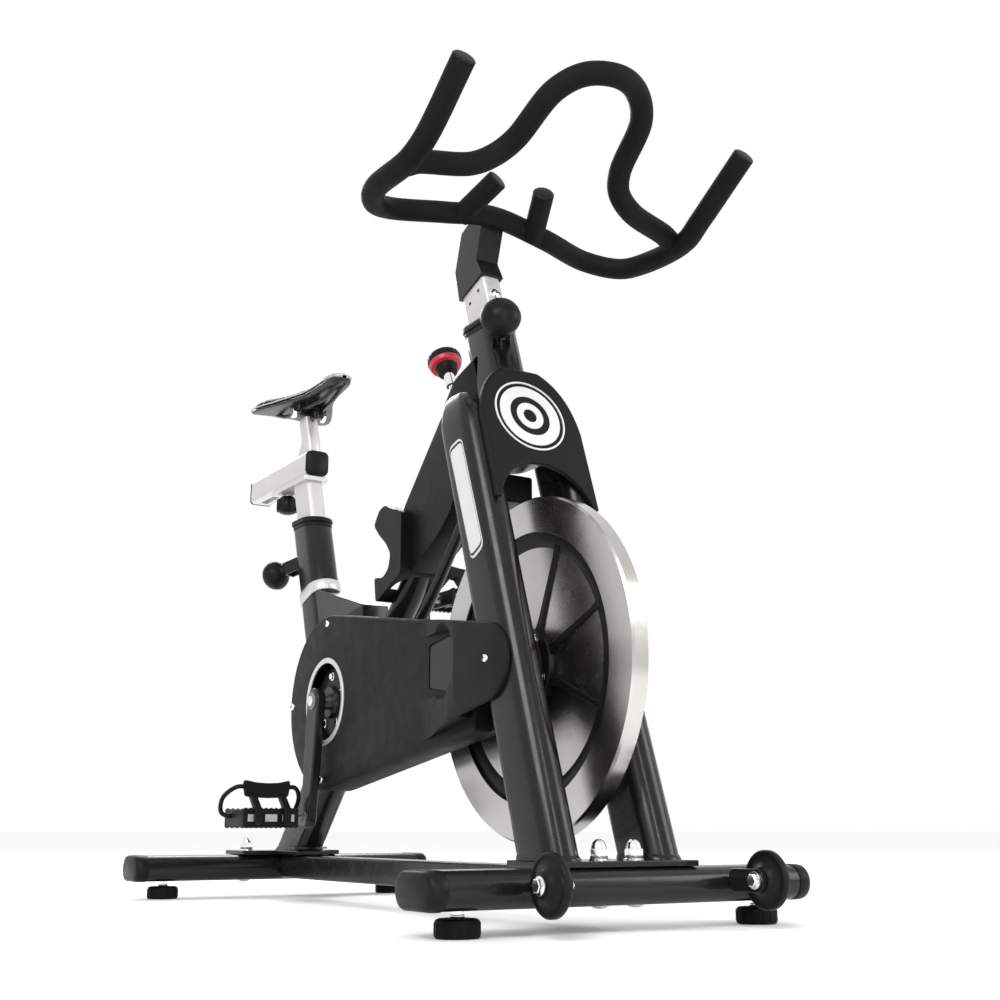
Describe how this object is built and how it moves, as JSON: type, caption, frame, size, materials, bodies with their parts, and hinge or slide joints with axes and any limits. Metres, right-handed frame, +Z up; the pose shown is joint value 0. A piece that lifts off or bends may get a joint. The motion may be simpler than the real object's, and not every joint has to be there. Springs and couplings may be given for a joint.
{
  "type": "exercise bike",
  "caption": "Indoor cycling bike: front flywheel in a leaning fork, guarded chain drive, toe-cage pedals, sliding saddle and handlebar posts, push brake with resistance knob.",
  "frame": {"origin": "middle of the footprint on the floor plane, under the midpoint of the overall length", "axes": "+Z up; +Y towards the saddle end; +X to the left of a seated rider, who faces -Y"},
  "size_m": [0.514, 1.208, 1.0286],
  "materials": {
    "frame_paint": "gloss black powder coat",
    "black_plastic": "satin moulded black",
    "grip_rubber": "matt black",
    "silver_metal": "satin silver",
    "bright_chrome": "bright plated",
    "polished_iron": "turned and polished with blackened recesses",
    "drive_steel": "oiled dark steel",
    "knob_red": "gloss red and black"
  },
  "bodies": {
    "frame": {"base_beam": "frame_paint", "crank_shell": "drive_steel", "down_tube": "frame_paint", "drive_chain": "drive_steel", "flywheel_axle": "bright_chrome", "fork_leg_left": "frame_paint", "fork_leg_right": "frame_paint", "frame_cover": "black_plastic", "front_end_cap_left": "black_plastic", "front_end_cap_right": "black_plastic", "front_plate": "frame_paint", "front_shroud": "black_plastic", "front_stabilizer": "frame_paint", "guard_back": "black_plastic", "guard_front_cover": "black_plastic", "guard_shell": "black_plastic", "head_sleeve": "black_plastic", "head_tube": "frame_paint", "rear_end_cap_left": "black_plastic", "rear_end_cap_right": "black_plastic", "rear_leg": "frame_paint", "rear_plate": "frame_paint", "rear_stabilizer": "frame_paint", "seat_sleeve": "black_plastic", "seat_tube": "frame_paint", "seat_tube_band": "silver_metal", "top_beam": "frame_paint", "wheel_bracket_left": "frame_paint", "wheel_bracket_right": "frame_paint"},
    "flywheel": {"flywheel": "polished_iron", "flywheel_cog": "drive_steel"},
    "crank": {"chainring": "frame_paint", "crank_spindle": "drive_steel", "crank_arm_right": "frame_paint", "crank_arm_left": "frame_paint"},
    "pedal_right": {"pedal_right": "black_plastic", "toe_cage_right": "black_plastic"},
    "pedal_left": {"pedal_left": "black_plastic", "toe_cage_left": "black_plastic"},
    "seat_post": {"seat_post": "silver_metal"},
    "saddle_slider": {"saddle_slider": "silver_metal", "slider_front_plug": "black_plastic", "saddle_clamp": "drive_steel", "saddle": "grip_rubber"},
    "slider_lock": {"slider_lock_knob": "black_plastic"},
    "handlebar": {"handlebar_post": "silver_metal", "gooseneck": "frame_paint", "handlebar_bar": "grip_rubber", "handlebar_loop": "grip_rubber"},
    "handlebar_pin": {"handlebar_pop_pin": "black_plastic"},
    "seat_pin": {"seat_pop_pin": "black_plastic"},
    "brake_rod": {"brake_rod": "bright_chrome"},
    "brake_pad": {"brake_pad": "grip_rubber"},
    "resistance_knob": {"resistance_knob": "knob_red"},
    "transport_wheel_right": {"transport_wheel_right": "black_plastic"},
    "transport_wheel_left": {"transport_wheel_left": "black_plastic"},
    "front_foot_right": {"front_foot_right": "grip_rubber"},
    "front_foot_left": {"front_foot_left": "grip_rubber"},
    "rear_foot_right": {"rear_foot_right": "grip_rubber"},
    "rear_foot_left": {"rear_foot_left": "grip_rubber"}
  },
  "joints": [
    {"name": "flywheel_spin", "type": "hinge", "parent": "frame", "child": "flywheel", "pos_m": [0, -0.332, 0.3], "axis": [1, 0, 0], "continuous": true},
    {"name": "crank_spin", "type": "hinge", "parent": "frame", "child": "crank", "pos_m": [0, 0.127, 0.291], "axis": [1, 0, 0], "continuous": true},
    {"name": "pedal_right_spin", "type": "hinge", "parent": "crank", "child": "pedal_right", "pos_m": [-0.158, 0.14182, 0.12165], "axis": [1, 0, 0], "continuous": true},
    {"name": "pedal_left_spin", "type": "hinge", "parent": "crank", "child": "pedal_left", "pos_m": [0.158, 0.11218, 0.46035], "axis": [1, 0, 0], "continuous": true},
    {"name": "seat_height", "type": "slide", "parent": "frame", "child": "seat_post", "axis": [0, 0.3173, 0.9483], "range_m": [-0.06, 0.1]},
    {"name": "saddle_fore_aft", "type": "slide", "parent": "seat_post", "child": "saddle_slider", "axis": [0, -1, 0], "range_m": [0, 0.1]},
    {"name": "slider_lock_turn", "type": "hinge", "parent": "seat_post", "child": "slider_lock", "pos_m": [0, 0.472, 0.68], "axis": [0, 0, 1], "range_deg": [-360, 360]},
    {"name": "handlebar_height", "type": "slide", "parent": "frame", "child": "handlebar", "axis": [0, 0.3173, 0.9483], "range_m": [-0.03, 0.11]},
    {"name": "handlebar_pin_pull", "type": "slide", "parent": "frame", "child": "handlebar_pin", "axis": [-0.5301, -0.8041, 0.269], "range_m": [0, 0.012], "stiffness_N_per_m": 900},
    {"name": "seat_pin_pull", "type": "slide", "parent": "frame", "child": "seat_pin", "axis": [-0.5002, 0.8213, -0.2746], "range_m": [0, 0.012], "stiffness_N_per_m": 900},
    {"name": "emergency_push", "type": "slide", "parent": "frame", "child": "brake_rod", "axis": [0, -0.4442, -0.896], "range_m": [0, 0.002], "stiffness_N_per_m": 3000},
    {"name": "resistance_turn", "type": "hinge", "parent": "brake_rod", "child": "resistance_knob", "pos_m": [0, -0.1, 0.768], "axis": [0, -0.4442, -0.896], "range_deg": [0, 720]},
    {"name": "pad_feed", "type": "slide", "parent": "brake_rod", "child": "brake_pad", "axis": [0, -0.4442, -0.896], "range_m": [0, 0.002]},
    {"name": "transport_wheel_right_spin", "type": "hinge", "parent": "frame", "child": "transport_wheel_right", "pos_m": [-0.143, -0.572, 0.052], "axis": [1, 0, 0], "continuous": true},
    {"name": "transport_wheel_left_spin", "type": "hinge", "parent": "frame", "child": "transport_wheel_left", "pos_m": [0.143, -0.572, 0.052], "axis": [1, 0, 0], "continuous": true},
    {"name": "front_foot_right_turn", "type": "hinge", "parent": "frame", "child": "front_foot_right", "pos_m": [-0.201, -0.49, 0], "axis": [0, 0, 1], "range_deg": [-720, 720]},
    {"name": "front_foot_left_turn", "type": "hinge", "parent": "frame", "child": "front_foot_left", "pos_m": [0.201, -0.49, 0], "axis": [0, 0, 1], "range_deg": [-720, 720]},
    {"name": "rear_foot_right_turn", "type": "hinge", "parent": "frame", "child": "rear_foot_right", "pos_m": [-0.201, 0.432, 0], "axis": [0, 0, 1], "range_deg": [-720, 720]},
    {"name": "rear_foot_left_turn", "type": "hinge", "parent": "frame", "child": "rear_foot_left", "pos_m": [0.201, 0.432, 0], "axis": [0, 0, 1], "range_deg": [-720, 720]}
  ],
  "couplings": [
    {"joint": "crank_spin", "follows": "flywheel_spin", "ratio": 0.30769},
    {"joint": "pad_feed", "follows": "resistance_turn", "m_per_rad": 0.00015915}
  ]
}
